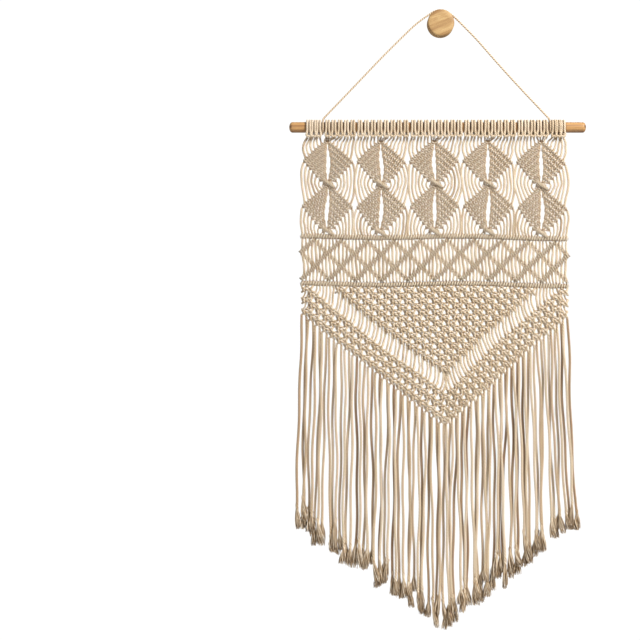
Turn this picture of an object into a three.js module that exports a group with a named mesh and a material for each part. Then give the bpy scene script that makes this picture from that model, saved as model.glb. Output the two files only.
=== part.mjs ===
// A knotted cotton (macrame) wall hanging on a turned wooden wall knob.
// Millimetres. The wall is the plane y = 0, the front faces -Y and +Z is up.
// The origin is the middle of the knob's back face, where it meets the wall.
import * as THREE from "three";

// ---- driving dimensions ----
const GAP = 0.4; // clearance between neighbouring pieces

const KNOB_RADIUS = 20;
const KNOB_DEPTH = 24.3;
const GROOVE_RADIUS = 15.7;
const BOLT_RADIUS = 3;
const BOLT_IN_KNOB = 17;
const BOLT_IN_WALL = 32;

const ROD_RADIUS = 8;
const ROD_LENGTH = 445;
const ROD_CENTRE_X = -4.5;
const ROD_Y = -12.8;
const ROD_Z = -155.6;
const ROD_DOME = 5; // how far each rounded end bulges

const HANGER_RADIUS = 1.5;
const TIE_X = [-176.5, 163.5]; // where the hanger cord is tied round the rod

const KNOTS_LEFT = -202;
const KNOTS_RIGHT = 186.3;
const HEADS_OUTSIDE_TIE = 3; // cord loops on the rod between each tie and the end of the knotting
const HEADS_PER_REPEAT = 8;
const SLEEVE_RADIUS = 12.2;
const BIGHT_RADIUS = 2.2; // the small ridge that the loops' folds make along the sleeve
const BIGHT_OFFSET = [-5.5, -12.5]; // from the rod's axis, in y and z

const PANEL_Y = -14;
const PANEL_LEFT = -209.5;
const PANEL_RIGHT = 191.3;
const PANEL_TOP = -171;
const REPEATS = 5;
const KNOTTED = 8; // thickness of knotted work
const LOOSE = 4.2; // thickness of a row of loose cords

const LEAF_TIP_REACH = 38.8; // from a leaf pair's middle to its side tips
const LEAF_SLIT = 1.5; // half the width of the slit between the two leaves
const LEAF_JOIN = 8; // height of the crossing that joins a pair at its foot
const LEAF_ROWS = [
  { name: "upper", top: -175.3, tips: -210.6, foot: -239.6 },
  { name: "lower", top: -242.8, tips: -278.4, foot: -311 },
];
const RIDGES = [
  { name: "upper", z: -320, radius: 4.4 },
  { name: "lower", z: -390.6, radius: 4.2 },
];

const TIP_X = 6.8; // the knotted points hang a little right of the panel's middle
const TRIANGLE_LEFT = -153.8;
const TRIANGLE_RIGHT = 137.2;
const TRIANGLE_TIP_Z = -523;
const BAND_SIDE_Z = -442; // lower end of the V-shaped band at the panel's edges
const BAND_TIP_Z = -597.5;
const BAND_HEIGHT = 46;

const BUNDLES = 20; // each is the four cords that leave one column of square knots
const BUNDLE_DEPTH = 9;
const FRINGE_LENGTH = 308;
const TUFT_LENGTH = 34;
const TUFT_FLARE = 2;

// ---- materials ----
const cotton = new THREE.MeshStandardMaterial({ color: 0xdccdae, roughness: 0.95, metalness: 0 });
const frayed = new THREE.MeshStandardMaterial({ color: 0xc4b292, roughness: 1, metalness: 0 });
const oak = new THREE.MeshStandardMaterial({ color: 0xb07a48, roughness: 0.55, metalness: 0 });
const beech = new THREE.MeshStandardMaterial({ color: 0xd8ab6c, roughness: 0.5, metalness: 0 });
const steel = new THREE.MeshStandardMaterial({ color: 0xa8a8a6, roughness: 0.35, metalness: 1 });

const hanging = new THREE.Group();

function addPiece(name, geometry, material) {
  const piece = new THREE.Mesh(geometry, material);
  piece.name = name;
  hanging.add(piece);
}

// ---- shape helpers ----

// An upright plate in the panel's plane, from its outline in x and z.
function plate(outline, thickness) {
  const shape = new THREE.Shape(outline.map(([x, z]) => new THREE.Vector2(x, z)));
  const solid = new THREE.ExtrudeGeometry(shape, { depth: thickness, bevelEnabled: false });
  solid.rotateX(Math.PI / 2);
  solid.translate(0, PANEL_Y + thickness / 2, 0);
  return solid;
}

// A bar along X, from its cross-section drawn in y and z.
function barAlongX(section, from, to, curveSegments) {
  const solid = new THREE.ExtrudeGeometry(section, {
    depth: to - from,
    bevelEnabled: false,
    curveSegments,
  });
  solid.rotateY(Math.PI / 2);
  solid.rotateX(Math.PI / 2);
  solid.translate(from, 0, 0);
  return solid;
}

function circle(radius) {
  return new THREE.Shape().absarc(0, 0, radius, 0, 2 * Math.PI, false);
}

// The z of a straight edge at x, between two of its points.
function edgeAt(x, [x0, z0], [x1, z1]) {
  return z0 + ((x - x0) / (x1 - x0)) * (z1 - z0);
}

// ---- wall knob: a spool turned on a lathe, bored from the back for its bolt ----
function makeWallKnob() {
  const boreRadius = BOLT_RADIUS + GAP;
  const boreEnd = -(BOLT_IN_KNOB + 1);
  const backRim = new THREE.QuadraticBezierCurve(
    new THREE.Vector2(KNOB_RADIUS - 2, 0),
    new THREE.Vector2(KNOB_RADIUS, 0),
    new THREE.Vector2(KNOB_RADIUS, -3),
  );
  const groove = new THREE.SplineCurve([
    new THREE.Vector2(KNOB_RADIUS, -5.5),
    new THREE.Vector2(KNOB_RADIUS - 0.7, -8),
    new THREE.Vector2(GROOVE_RADIUS + 1.4, -10.5),
    new THREE.Vector2(GROOVE_RADIUS, -13.2),
    new THREE.Vector2(GROOVE_RADIUS + 1.4, -16),
    new THREE.Vector2(KNOB_RADIUS - 0.7, -18.8),
    new THREE.Vector2(KNOB_RADIUS, -21),
  ]);
  const frontRim = new THREE.QuadraticBezierCurve(
    new THREE.Vector2(KNOB_RADIUS, -22.6),
    new THREE.Vector2(KNOB_RADIUS, -KNOB_DEPTH),
    new THREE.Vector2(KNOB_RADIUS - 1.6, -KNOB_DEPTH),
  );
  const profile = [
    new THREE.Vector2(0, boreEnd),
    new THREE.Vector2(boreRadius, boreEnd),
    new THREE.Vector2(boreRadius, 0),
    ...backRim.getPoints(2),
    ...groove.getPoints(10),
    ...frontRim.getPoints(2),
    new THREE.Vector2(0, -KNOB_DEPTH),
  ];
  addPiece("wall_knob", new THREE.LatheGeometry(profile.reverse(), 32), beech);
}

// ---- hanger bolt: a straight shank in the knob and a pointed wood thread in the wall ----
function makeHangerBolt() {
  const threadRadius = BOLT_RADIUS - 0.3;
  const coreRadius = BOLT_RADIUS - 0.9;
  const turns = 8;
  const pitch = 3;
  const threadStart = 3;
  const profile = [
    new THREE.Vector2(0, -BOLT_IN_KNOB),
    new THREE.Vector2(BOLT_RADIUS - 0.5, -BOLT_IN_KNOB),
    new THREE.Vector2(BOLT_RADIUS, -BOLT_IN_KNOB + 0.6),
    new THREE.Vector2(BOLT_RADIUS, threadStart - 1),
    new THREE.Vector2(coreRadius, threadStart),
  ];
  for (let turn = 0; turn < turns; turn += 1) {
    const y = threadStart + turn * pitch;
    profile.push(new THREE.Vector2(threadRadius, y + pitch / 2));
    profile.push(new THREE.Vector2(coreRadius, y + pitch));
  }
  profile.push(new THREE.Vector2(0, BOLT_IN_WALL));
  addPiece("knob_hanger_bolt", new THREE.LatheGeometry(profile, 12), steel);
}

// ---- hanger cord: from the left tie, over the knob's rear shoulder, to the right tie ----
// The stiff little cord bows over the knob rather than lying against it all round.
const HANGER_ROUTE = [
  [-175.2, -12.6, -141.9],
  [-129.8, -11.2, -94.5],
  [-87, -10, -49.5],
  [-59, -9, -21.5],
  [-40.5, -8.4, -3.5],
  [-30.8, -8.1, 4.6],
  [-18.2, -8, 13.5],
  [-9.4, -8, 19.2],
  [0, -8, 21.3],
  [9.4, -8, 19.3],
  [16.9, -8, 14.3],
  [26.9, -8.2, 5.2],
  [35.9, -8.5, -3.9],
  [53.8, -9.2, -22.5],
  [84, -10.3, -57],
  [117.3, -11.4, -94],
  [162.2, -12.6, -141.9],
];

function makeHangerCord() {
  const route = new THREE.CatmullRomCurve3(
    HANGER_ROUTE.map((point) => new THREE.Vector3(...point)),
    false,
    "centripetal",
  );
  const cord = new THREE.ExtrudeGeometry(circle(HANGER_RADIUS), {
    steps: 76,
    extrudePath: route,
    curveSegments: 4,
  });
  addPiece("hanger_cord", cord, cotton);
}

// ---- ties: the hanger cord's end loops, snug but free to slip round the rod ----
function makeTie(name, x) {
  const loopRadius = ROD_RADIUS + GAP + HANGER_RADIUS;
  const loop = new THREE.TorusGeometry(loopRadius, HANGER_RADIUS, 8, 28);
  loop.rotateY(Math.PI / 2);
  loop.translate(x, ROD_Y, ROD_Z);
  addPiece(name, loop, cotton);
}

// ---- dowel rod with softly rounded ends ----
function makeRod() {
  const half = ROD_LENGTH / 2;
  const dome = new THREE.EllipseCurve(0, half - ROD_DOME, ROD_RADIUS, ROD_DOME, 0, Math.PI / 2);
  const upper = dome.getPoints(5);
  const lower = upper.map((point) => new THREE.Vector2(point.x, -point.y)).reverse();
  lower[0].x = 0;
  upper[upper.length - 1].x = 0;
  const rod = new THREE.LatheGeometry([...lower, ...upper], 24);
  rod.rotateZ(-Math.PI / 2);
  rod.translate(ROD_CENTRE_X, ROD_Y, ROD_Z);
  addPiece("dowel_rod", rod, oak);
}

// ---- lark's head knots: each group of cord loops on the rod is one sleeve ----
function sleeveSection() {
  const [bumpY, bumpZ] = BIGHT_OFFSET;
  const towardsBump = Math.atan2(bumpZ, bumpY);
  const halfGap = Math.asin(BIGHT_RADIUS / SLEEVE_RADIUS);
  const section = new THREE.Shape();
  section.absarc(
    0, 0, SLEEVE_RADIUS, towardsBump + halfGap, towardsBump - halfGap + 2 * Math.PI, false,
  );
  section.absarc(
    bumpY, bumpZ, BIGHT_RADIUS, towardsBump - Math.PI / 2, towardsBump + Math.PI / 2, false,
  );
  const hole = new THREE.Path();
  hole.absarc(0, 0, ROD_RADIUS + GAP, 0, 2 * Math.PI, true);
  section.holes.push(hole);
  return section;
}

// The x of each edge between groups: at every repeat of the pattern, and at both ties.
function sleeveEnds() {
  const heads = REPEATS * HEADS_PER_REPEAT;
  const lastInside = heads - HEADS_OUTSIDE_TIE;
  const pitch = (TIE_X[1] - TIE_X[0]) / (lastInside - HEADS_OUTSIDE_TIE);
  const besideTie = HANGER_RADIUS + GAP;
  const repeats = [];
  for (let repeat = 1; repeat < REPEATS; repeat += 1) {
    const x = TIE_X[0] + (repeat * HEADS_PER_REPEAT - HEADS_OUTSIDE_TIE) * pitch;
    repeats.push([x - GAP / 2, x + GAP / 2]);
  }
  return [
    [KNOTS_LEFT],
    [TIE_X[0] - besideTie, TIE_X[0] + besideTie],
    ...repeats,
    [TIE_X[1] - besideTie, TIE_X[1] + besideTie],
    [KNOTS_RIGHT],
  ].flat();
}

function makeLarkHeadKnots() {
  const section = sleeveSection();
  const ends = sleeveEnds();
  for (let group = 0; group < ends.length / 2; group += 1) {
    const sleeve = barAlongX(section, ends[2 * group], ends[2 * group + 1], 10);
    sleeve.translate(0, ROD_Y, ROD_Z);
    addPiece(`lark_head_knots_${group + 1}`, sleeve, cotton);
  }
}

// ---- leaf pairs: two mirrored leaves of slanting half-hitch rows, joined at the foot ----
const REPEAT_WIDTH = (PANEL_RIGHT - PANEL_LEFT) / REPEATS;

function repeatMiddle(repeat) {
  return PANEL_LEFT + (repeat + 0.5) * REPEAT_WIDTH;
}

function makeLeafPairs({ name, top, tips, foot }) {
  for (let repeat = 0; repeat < REPEATS; repeat += 1) {
    const x = repeatMiddle(repeat);
    const outline = [
      [x - LEAF_SLIT, top],
      [x - LEAF_TIP_REACH, tips],
      [x, foot],
      [x + LEAF_TIP_REACH, tips],
      [x + LEAF_SLIT, top],
      [x + LEAF_SLIT, foot + LEAF_JOIN],
      [x - LEAF_SLIT, foot + LEAF_JOIN],
    ];
    addPiece(`leaf_pair_${name}_${repeat + 1}`, plate(outline, KNOTTED), cotton);
  }
}

// ---- loose cords between the leaf rows: full-width curtains with zigzag edges ----

// One zigzag edge from left to right. It is level at z `middle` across a repeat's slit, and level
// at `tips` between the side tips of two repeats.
function zigzag(middle, tips) {
  const points = [[PANEL_LEFT, tips]];
  for (let repeat = 0; repeat < REPEATS; repeat += 1) {
    const x = repeatMiddle(repeat);
    points.push([x - LEAF_TIP_REACH, tips], [x - LEAF_SLIT, middle]);
    points.push([x + LEAF_SLIT, middle], [x + LEAF_TIP_REACH, tips]);
  }
  points.push([PANEL_RIGHT, tips]);
  return points;
}

function makeLooseCords() {
  const [upper, lower] = LEAF_ROWS;
  const clear = 2 * GAP;
  const top = [
    [PANEL_LEFT, PANEL_TOP],
    ...zigzag(upper.top + clear, upper.tips + clear),
    [PANEL_RIGHT, PANEL_TOP],
  ];
  const middle = [
    ...zigzag(upper.foot - clear, upper.tips - clear),
    ...zigzag(lower.top + clear, lower.tips + clear).reverse(),
  ];
  const bottomZ = RIDGES[0].z + RIDGES[0].radius + GAP;
  const bottom = [
    ...zigzag(lower.foot - clear, lower.tips - clear),
    [PANEL_RIGHT, bottomZ],
    [PANEL_LEFT, bottomZ],
  ];
  addPiece("loose_cords_top", plate(top, LOOSE), cotton);
  addPiece("loose_cords_middle", plate(middle, LOOSE), cotton);
  addPiece("loose_cords_bottom", plate(bottom, LOOSE), cotton);
}

// ---- ridges: straight rows of half hitches right across the panel ----
function makeRidge({ name, z, radius }) {
  const ridge = barAlongX(circle(radius), PANEL_LEFT, PANEL_RIGHT, 8);
  ridge.translate(0, PANEL_Y, z);
  addPiece(`ridge_${name}`, ridge, cotton);
}

// ---- lattice of crossing half-hitch rows between the ridges ----
function makeLattice() {
  const top = RIDGES[0].z - RIDGES[0].radius - GAP;
  const bottom = RIDGES[1].z + RIDGES[1].radius + GAP;
  const outline = [
    [PANEL_LEFT, top],
    [PANEL_LEFT, bottom],
    [PANEL_RIGHT, bottom],
    [PANEL_RIGHT, top],
  ];
  addPiece("diamond_lattice", plate(outline, KNOTTED), cotton);
}

// ---- square knots: a triangle, a gap of loose slanting cords, and a V-shaped band ----
const BELOW_RIDGES = RIDGES[1].z - RIDGES[1].radius - GAP;

function makeKnotTriangle() {
  const outline = [
    [TRIANGLE_LEFT, BELOW_RIDGES],
    [TIP_X, TRIANGLE_TIP_Z],
    [TRIANGLE_RIGHT, BELOW_RIDGES],
  ];
  addPiece("square_knot_triangle", plate(outline, KNOTTED), cotton);
}

// The columns of one side of the panel, from its edge to the tip: [outer x, inner x, lower z].
function columns(edgeX) {
  const perSide = BUNDLES / 2;
  const list = [];
  for (let column = 0; column < perSide; column += 1) {
    const outer = THREE.MathUtils.lerp(edgeX, TIP_X, column / perSide);
    const inner = THREE.MathUtils.lerp(edgeX, TIP_X, (column + 1) / perSide);
    const z = edgeAt((outer + inner) / 2, [edgeX, BAND_SIDE_Z], [TIP_X, BAND_TIP_Z]);
    list.push([outer, inner, z]);
  }
  return list;
}

// The band's lower edge steps down one column of knots at a time.
function makeKnotBand(side, edgeX) {
  const seam = TIP_X + (Math.sign(edgeX) * GAP) / 2;
  const steps = columns(edgeX).flatMap(([outer, inner, z]) => [
    [outer, z],
    [inner, z],
  ]);
  steps[steps.length - 1][0] = seam;
  const outline = [
    [edgeX, BAND_SIDE_Z + BAND_HEIGHT],
    ...steps,
    [seam, BAND_TIP_Z + BAND_HEIGHT],
  ];
  addPiece(`square_knot_band_${side}`, plate(outline, KNOTTED), cotton);
}

function makeOpenCords(side, edgeX, triangleX) {
  const inward = -Math.sign(edgeX);
  const seam = TIP_X - (inward * GAP) / 2;
  const clear = 2 * GAP;
  const outline = [
    [edgeX + inward * clear, BELOW_RIDGES],
    [seam, BAND_TIP_Z + BAND_HEIGHT + clear],
    [seam, TRIANGLE_TIP_Z - clear],
    [triangleX - inward * clear, BELOW_RIDGES],
  ];
  addPiece(`open_cords_${side}`, plate(outline, LOOSE), cotton);
}

// ---- fringe: one bundle of four cords under each column, ending in a frayed tuft ----
// A bundle's top is rounded about the line that it swings on.
function bundleProfile() {
  const half = BUNDLE_DEPTH / 2;
  const tuftTop = -(FRINGE_LENGTH - TUFT_LENGTH);
  const tuftMiddle = tuftTop - TUFT_LENGTH / 2;
  const profile = new THREE.Shape();
  profile.absarc(0, 0, half, 0, Math.PI, false);
  profile.lineTo(-half, tuftTop);
  profile.lineTo(-half - TUFT_FLARE, tuftMiddle);
  profile.lineTo(-half, -FRINGE_LENGTH);
  profile.lineTo(half, -FRINGE_LENGTH);
  profile.lineTo(half + TUFT_FLARE, tuftMiddle);
  profile.lineTo(half, tuftTop);
  return profile;
}

function makeFringe() {
  const profile = bundleProfile();
  const beside = 1.5 * GAP;
  const left = columns(PANEL_LEFT);
  const right = columns(PANEL_RIGHT).reverse();
  [...left, ...right].forEach(([outer, inner, z], index) => {
    const from = Math.min(outer, inner) + beside;
    const to = Math.max(outer, inner) - beside;
    const bundle = barAlongX(profile, from, to, 6);
    bundle.translate(0, PANEL_Y, z - BUNDLE_DEPTH / 2 - 2 * GAP);
    addPiece(`fringe_${index + 1}`, bundle, frayed);
  });
}

// ---- the whole hanging ----
makeWallKnob();
makeHangerBolt();
makeHangerCord();
makeTie("hanger_tie_left", TIE_X[0]);
makeTie("hanger_tie_right", TIE_X[1]);
makeRod();
makeLarkHeadKnots();
LEAF_ROWS.forEach(makeLeafPairs);
makeLooseCords();
RIDGES.forEach(makeRidge);
makeLattice();
makeKnotTriangle();
makeKnotBand("left", PANEL_LEFT);
makeKnotBand("right", PANEL_RIGHT);
makeOpenCords("left", PANEL_LEFT, TRIANGLE_LEFT);
makeOpenCords("right", PANEL_RIGHT, TRIANGLE_RIGHT);
makeFringe();

export default hanging;
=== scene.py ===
"""A macrame wall hanging: its cords, knots, wooden rod and wall knob, made round the CAD frame.

Shapes are worked out in millimetres and become metres when a mesh is made.
The wall is the plane y = 0, the front faces -Y and +Z is up.
"""

import math

import bpy
import numpy as np
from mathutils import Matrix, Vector


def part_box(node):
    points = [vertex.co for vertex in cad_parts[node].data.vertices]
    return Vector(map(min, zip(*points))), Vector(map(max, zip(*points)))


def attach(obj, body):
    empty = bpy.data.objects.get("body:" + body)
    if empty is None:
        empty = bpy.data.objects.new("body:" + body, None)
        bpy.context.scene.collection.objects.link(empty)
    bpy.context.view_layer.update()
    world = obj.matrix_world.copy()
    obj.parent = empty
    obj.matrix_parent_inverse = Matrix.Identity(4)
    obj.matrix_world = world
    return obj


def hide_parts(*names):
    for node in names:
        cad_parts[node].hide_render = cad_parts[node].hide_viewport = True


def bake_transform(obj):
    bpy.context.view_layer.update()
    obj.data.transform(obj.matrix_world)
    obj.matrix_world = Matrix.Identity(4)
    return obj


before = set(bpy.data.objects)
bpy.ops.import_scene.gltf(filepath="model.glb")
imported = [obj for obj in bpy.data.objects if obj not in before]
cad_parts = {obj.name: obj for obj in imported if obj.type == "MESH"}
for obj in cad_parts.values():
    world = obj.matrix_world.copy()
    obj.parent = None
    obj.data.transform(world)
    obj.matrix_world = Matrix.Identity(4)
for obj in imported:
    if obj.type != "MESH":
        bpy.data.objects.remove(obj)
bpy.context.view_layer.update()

MM = 0.001
rng = np.random.default_rng(11)
TURN = 2 * math.pi
RIGHT = np.array([1.0, 0, 0])
FORWARD = np.array([0, -1.0, 0])
UP = np.array([0, 0, 1.0])


def box(node):
    """The lowest and highest corners of a CAD node, in millimetres."""
    low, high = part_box(node)
    return np.array(low) / MM, np.array(high) / MM


def middle(node):
    low, high = box(node)
    return (low + high) / 2


def add_object(name, data):
    thing = bpy.data.objects.new(name, data)
    bpy.context.scene.collection.objects.link(thing)
    return thing


# ---- sizes that come from the frame ----
ROD = middle("dowel_rod")
ROD_RADIUS = (box("dowel_rod")[1][2] - box("dowel_rod")[0][2]) / 2
PANEL = middle("diamond_lattice")
PANEL_LEFT = box("diamond_lattice")[0][0]
PANEL_RIGHT = box("diamond_lattice")[1][0]
PANEL_WIDTH = PANEL_RIGHT - PANEL_LEFT
PANEL_Y = PANEL[1]
RIDGE_Z = {name: middle(f"ridge_{name}")[2] for name in ("upper", "lower")}
KNOTS_TOP = box("square_knot_triangle")[1][2]
TRIANGLE_TIP = box("square_knot_triangle")[0][2]
TIP_X = box("square_knot_band_left")[1][0]
LOOSE_TOP = box("loose_cords_top")[1][2]

# ---- the cord and its knots ----
CORDS = 80
REPEATS = 5
LEAF_CORDS = 8
HEADS_IN_GROUP = (3, 5, 8, 8, 8, 5, 3)
COLUMNS = 20
TRIANGLE_ROWS = 15
TRIANGLE_FIRST_COLUMN = 3
BAND_LAST_DIAGONAL = 3
BAND_FIRST_DIAGONAL = -1
BUNDLES = 20
DECLARED_FRINGE_CORDS = 39

CORD_RADIUS = 2.0  # in the knotted panel
WRAP_RADIUS = 1.17  # pulled tight in a half hitch
FILLER_RADIUS = 1.2  # under the wraps of a row of hitches
HEAD_RADIUS = 1.85  # in the knots on the rod
FRINGE_RADIUS = 2.25  # hanging free, where it is fuller
HANGER_RADIUS = 1.5
LAY = 10.0  # one turn of the three plies
FRINGE_LAY = 14.0
CORD_PITCH = PANEL_WIDTH / CORDS
COLUMN_PITCH = PANEL_WIDTH / COLUMNS
ROW_PITCH = (KNOTS_TOP - TRIANGLE_TIP) / TRIANGLE_ROWS


# ---- camera ----
CAMERA_AT = (-0.1808, -2.562, -0.4445)
CAMERA_LENS = 95.6
SENSOR = 36


def make_camera():
    data = bpy.data.cameras.new("camera")
    data.lens = CAMERA_LENS
    data.sensor_width = SENSOR
    camera = add_object("camera", data)
    camera.location = CAMERA_AT
    camera.rotation_euler = (math.pi / 2, 0, 0)
    bpy.context.scene.camera = camera


# ---- node material helpers ----
WHITE = (1, 1, 1)


class Nodes:
    """A material's node tree, with short calls to add and link nodes."""

    def __init__(self, name):
        self.material = bpy.data.materials.new(name)
        self.material.use_nodes = True
        self.tree = self.material.node_tree
        self.shader = self.tree.nodes["Principled BSDF"]

    def add(self, kind, inputs=None, **settings):
        node = self.tree.nodes.new(kind)
        for key, value in settings.items():
            setattr(node, key, value)
        for key, value in (inputs or {}).items():
            if isinstance(value, bpy.types.NodeSocket):
                self.tree.links.new(value, node.inputs[key])
            else:
                node.inputs[key].default_value = value
        return node

    def place(self):
        return self.add("ShaderNodeTexCoord").outputs["Object"]

    def painted(self, attribute):
        return self.add("ShaderNodeAttribute", attribute_name=attribute).outputs["Fac"]

    def multiplied(self, factor, colour, by):
        inputs = {0: factor, 6: colour, 7: by}
        return self.add("ShaderNodeMix", inputs, data_type="RGBA", blend_type="MULTIPLY").outputs[2]

    def math(self, operation, first, second=0.0):
        return self.add("ShaderNodeMath", {0: first, 1: second}, operation=operation).outputs[0]

    def scaled(self, value, factor, offset):
        return self.math("ADD", self.math("MULTIPLY", value, factor), offset)

    def ramp(self, value, *stops):
        node = self.add("ShaderNodeValToRGB", {0: value})
        elements = node.color_ramp.elements
        while len(elements) < len(stops):
            elements.new(0.5)
        for element, (position, colour) in zip(elements, stops):
            element.position = position
            element.color = (*colour, 1)
        return node.outputs[0]

    def noise(self, vector, scale, detail=3.0, roughness=0.5):
        inputs = {"Vector": vector, "Scale": scale, "Detail": detail, "Roughness": roughness}
        return self.add("ShaderNodeTexNoise", inputs).outputs[0]

    def stretched(self, vector, scale):
        return self.add("ShaderNodeMapping", {"Vector": vector, "Scale": scale}).outputs[0]

    def grain(self, vector, scale, detail, roughness=0.5):
        """Noise drawn out along one axis: the smallest scale is the long way."""
        return self.noise(self.stretched(vector, scale), 1.0, detail, roughness)

    def bump(self, height, distance, strength=1.0, normal=None):
        inputs = {"Height": height, "Distance": distance, "Strength": strength}
        if normal is not None:
            inputs["Normal"] = normal
        return self.add("ShaderNodeBump", inputs).outputs[0]

    def finish(self, colour, roughness, normal, **fixed):
        self.tree.links.new(colour, self.shader.inputs["Base Color"])
        self.tree.links.new(roughness, self.shader.inputs["Roughness"])
        self.tree.links.new(normal, self.shader.inputs["Normal"])
        for key, value in fixed.items():
            self.shader.inputs[key.replace("_", " ").title()].default_value = value
        return self.material


def cotton(name, pale, mid, deep, ply_groove_shade):
    """Cotton cord: plies with painted shade in their grooves, fine fibres along them, painted shade where
    cord crowds it and where it dives, and each cord a little different.
    """
    nodes = Nodes(name)
    place = nodes.place()
    along = nodes.add("ShaderNodeUVMap", uv_map="cord").outputs[0]
    across = nodes.add("ShaderNodeSeparateXYZ", {0: along}).outputs[0]
    groove = nodes.math("ABSOLUTE", nodes.math("SINE", nodes.math("MULTIPLY", across, math.pi)))
    # each cord's random tone with painted shade mixed in: darker in the ply grooves, in the dips of
    # wrapping cords, on the slack seams and on the fringe's rear layer
    tone_and_shade = nodes.painted("tone_and_shade")
    # a negative tone is painted shade, added to the crevice shade
    painted_dip_shade = nodes.math("MAXIMUM", nodes.math("MULTIPLY", tone_and_shade, -1.0), 0.0)
    crevice_shade = nodes.math("ADD", nodes.painted("crevice_shade"), painted_dip_shade)
    fibres = nodes.grain(along, (9.0, 0.55, 1.0), 4.0, 0.65)
    slubs = nodes.grain(along, (0.6, 0.06, 1.0), 2.0)
    patches = nodes.noise(place, 21.0, 3.0)
    flecks = nodes.noise(place, 900.0, 2.0, 0.7)
    light = nodes.scaled(fibres, 0.42, nodes.math("MULTIPLY", tone_and_shade, 0.58))
    colour = nodes.ramp(light, (0.22, deep), (0.46, mid), (0.72, pale))
    warm = nodes.multiplied(nodes.math("MULTIPLY", patches, 0.35), colour, (0.93, 0.84, 0.70, 1))
    grey = nodes.ramp(slubs, (0.32, (0.86, 0.84, 0.80)), (0.55, WHITE))
    warm = nodes.multiplied(0.7, warm, grey)
    # painted shade: the plies darken to brown in the grooves between them
    plies = nodes.ramp(groove, (0.30, (0.13, 0.065, 0.02)), (0.66, (0.62, 0.48, 0.32)), (0.94, WHITE))
    shaded = nodes.multiplied(ply_groove_shade, warm, plies)
    # painted shade: the cotton turns brown, then dark brown, where cord crowds it and where a wrap dives
    painted_shade = nodes.ramp(crevice_shade, (0.0, WHITE), (0.5, (0.62, 0.49, 0.33)), (1.0, (0.20, 0.12, 0.055)))
    shaded = nodes.multiplied(1.0, shaded, painted_shade)
    seed = nodes.ramp(flecks, (0.70, WHITE), (0.80, (0.62, 0.48, 0.34)))
    shaded = nodes.multiplied(0.5, shaded, seed)
    roughness = nodes.scaled(fibres, 0.18, 0.78)
    normal = nodes.bump(fibres, 0.00018, 0.8)
    normal = nodes.bump(nodes.noise(place, 2600.0, 2.0), 0.00006, 0.5, normal)
    return nodes.finish(shaded, roughness, normal, sheen_weight=0.12, sheen_roughness=0.5)


def wood(name, pale, mid, dark, grain_turn, ring_scale, shine):
    """Turned hardwood: growth bands, fine pores along the grain, and a soft worn polish."""
    nodes = Nodes(name)
    place = nodes.place()
    turned = nodes.add("ShaderNodeMapping", {"Vector": place, "Rotation": grain_turn}).outputs[0]
    warp = nodes.grain(turned, (9.0, 55.0, 55.0), 3.0)
    bent = nodes.add("ShaderNodeVectorMath", {0: turned, 1: warp}, operation="ADD").outputs[0]
    bands = nodes.add(
        "ShaderNodeTexWave",
        {"Vector": nodes.stretched(turned, (0.04, 1.0, 0.7)), "Scale": ring_scale, "Distortion": 4.5,
         "Detail": 3.0, "Detail Scale": 1.6},
        wave_type="RINGS",
    ).outputs["Fac"]
    streaks = nodes.grain(turned, (14.0, 420.0, 420.0), 4.0, 0.6)
    pores = nodes.grain(turned, (60.0, 1900.0, 1900.0), 2.0, 0.6)
    blotch = nodes.noise(nodes.stretched(bent, (1.0, 3.0, 3.0)), 6.0, 2.0)
    value = nodes.scaled(bands, 0.34, nodes.math("MULTIPLY", streaks, 0.66))
    colour = nodes.ramp(value, (0.25, dark), (0.47, mid), (0.70, pale))
    pore_colour = nodes.ramp(pores, (0.30, (0.52, 0.38, 0.26)), (0.42, WHITE))
    colour = nodes.multiplied(0.6, colour, pore_colour)
    tone = nodes.ramp(blotch, (0.35, (0.84, 0.76, 0.68)), (0.65, WHITE))
    colour = nodes.multiplied(0.8, colour, tone)
    # painted shadow on the rod where cord crowds it
    crevice_shade = nodes.painted("crevice_shade")
    shadow = nodes.ramp(crevice_shade, (0.0, WHITE), (0.4, (0.20, 0.12, 0.06)), (0.8, (0.06, 0.03, 0.02)))
    colour = nodes.multiplied(1.0, colour, shadow)
    roughness = nodes.scaled(streaks, 0.22, shine)
    normal = nodes.bump(pores, 0.00012, 0.6)
    normal = nodes.bump(streaks, 0.0001, 0.5, normal)
    return nodes.finish(colour, roughness, normal)


def zinc_steel():
    """Zinc-plated steel with fine turning lines and a little dulling."""
    nodes = Nodes("zinc_steel")
    place = nodes.place()
    lines = nodes.grain(place, (300.0, 9000.0, 300.0), 2.0)
    cloud = nodes.noise(place, 160.0, 3.0)
    colour = nodes.ramp(cloud, (0.3, (0.46, 0.46, 0.44)), (0.7, (0.68, 0.68, 0.66)))
    roughness = nodes.scaled(cloud, 0.25, 0.22)
    normal = nodes.bump(lines, 0.00002, 0.5)
    return nodes.finish(colour, roughness, normal, metallic=1.0)


# ---- curves ----
def steps_of(line):
    """The distance from each point of a line to the next."""
    return np.linalg.norm(np.diff(line, axis=0), axis=1)


def summed(steps):
    return np.concatenate([[0], np.cumsum(steps)])


def evenly(line, step):
    """The same line with its points about step apart."""
    along = summed(steps_of(line))
    at = np.linspace(0, along[-1], max(3, round(along[-1] / step) + 1))
    return np.stack([np.interp(at, along, line[:, axis]) for axis in range(3)], axis=1)


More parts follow.
